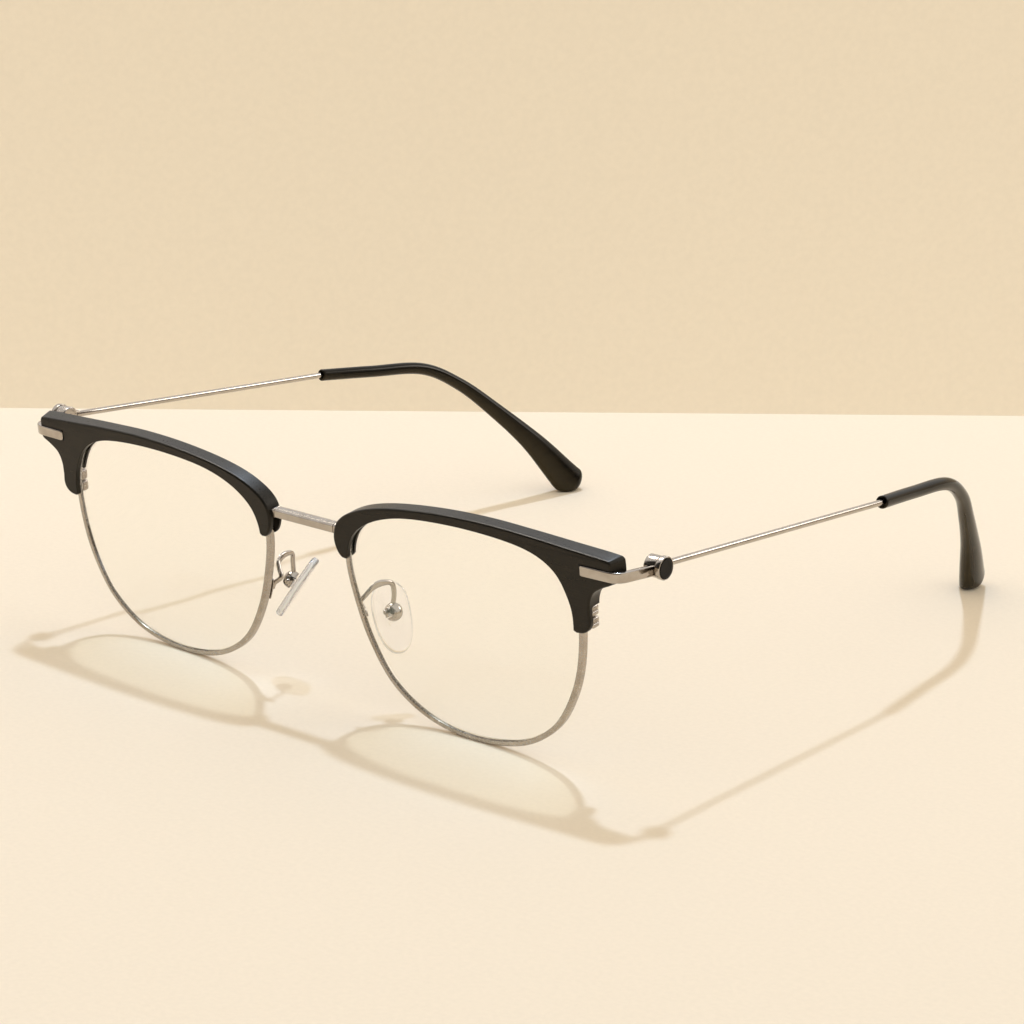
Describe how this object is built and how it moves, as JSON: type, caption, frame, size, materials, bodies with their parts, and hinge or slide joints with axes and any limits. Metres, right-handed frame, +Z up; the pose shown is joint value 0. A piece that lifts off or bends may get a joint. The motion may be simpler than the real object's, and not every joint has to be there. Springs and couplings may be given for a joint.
{
  "type": "reading glasses",
  "caption": "Reading glasses with metal rims under moulded brow caps, clear lenses, adjustable nose pads and slim wire temples that fold on drum hinges.",
  "frame": {"origin": "centre of the footprint on the ground plane, under the opened glasses as they stand on their rims and temple tips", "axes": "+Z up; the wearer looks along -Y, so the front is at -Y and the temples run towards +Y; +X is the wearer's left"},
  "size_m": [0.1488, 0.1506, 0.0433],
  "materials": {
    "silver_metal": "satin",
    "polished_metal": "polished",
    "satin_black_moulding": "satin",
    "dark_acetate": "gloss",
    "black_enamel": "satin",
    "clear_lens": "polished",
    "clear_silicone": "smooth"
  },
  "bodies": {
    "front": {"bridge": "silver_metal", "left_rim": "silver_metal", "left_lens": "clear_lens", "left_brow": "satin_black_moulding", "left_endpiece": "polished_metal", "left_hinge_cap": "black_enamel", "left_rim_lock_upper": "silver_metal", "left_rim_lock_lower": "silver_metal", "left_rim_lock_screw": "silver_metal", "left_brow_screw": "silver_metal", "left_hinge_screw": "silver_metal", "left_pad_arm": "polished_metal", "left_pad_screw": "silver_metal", "right_rim": "silver_metal", "right_lens": "clear_lens", "right_brow": "satin_black_moulding", "right_endpiece": "polished_metal", "right_hinge_cap": "black_enamel", "right_rim_lock_upper": "silver_metal", "right_rim_lock_lower": "silver_metal", "right_rim_lock_screw": "silver_metal", "right_brow_screw": "silver_metal", "right_hinge_screw": "silver_metal", "right_pad_arm": "polished_metal", "right_pad_screw": "silver_metal"},
    "left_temple": {"left_temple_wire": "silver_metal", "left_temple_tip": "dark_acetate"},
    "right_temple": {"right_temple_wire": "silver_metal", "right_temple_tip": "dark_acetate"},
    "left_pad": {"left_nose_pad": "clear_silicone"},
    "right_pad": {"right_nose_pad": "clear_silicone"}
  },
  "joints": [
    {"name": "left_temple_fold", "type": "hinge", "parent": "front", "child": "left_temple", "pos_m": [0.07231, -0.06459, 0.03931], "axis": [0, 0, 1], "range_deg": [0, 81.5]},
    {"name": "right_temple_fold", "type": "hinge", "parent": "front", "child": "right_temple", "pos_m": [-0.07231, -0.06459, 0.03931], "axis": [0, 0, -1], "range_deg": [0, 79]},
    {"name": "left_pad_rock", "type": "hinge", "parent": "front", "child": "left_pad", "pos_m": [0.0132, -0.06356, 0.01818], "axis": [0.4772, 0.8788, 0], "range_deg": [-12, 12]},
    {"name": "right_pad_rock", "type": "hinge", "parent": "front", "child": "right_pad", "pos_m": [-0.0132, -0.06356, 0.01818], "axis": [0.4772, -0.8788, 0], "range_deg": [-12, 12]}
  ]
}
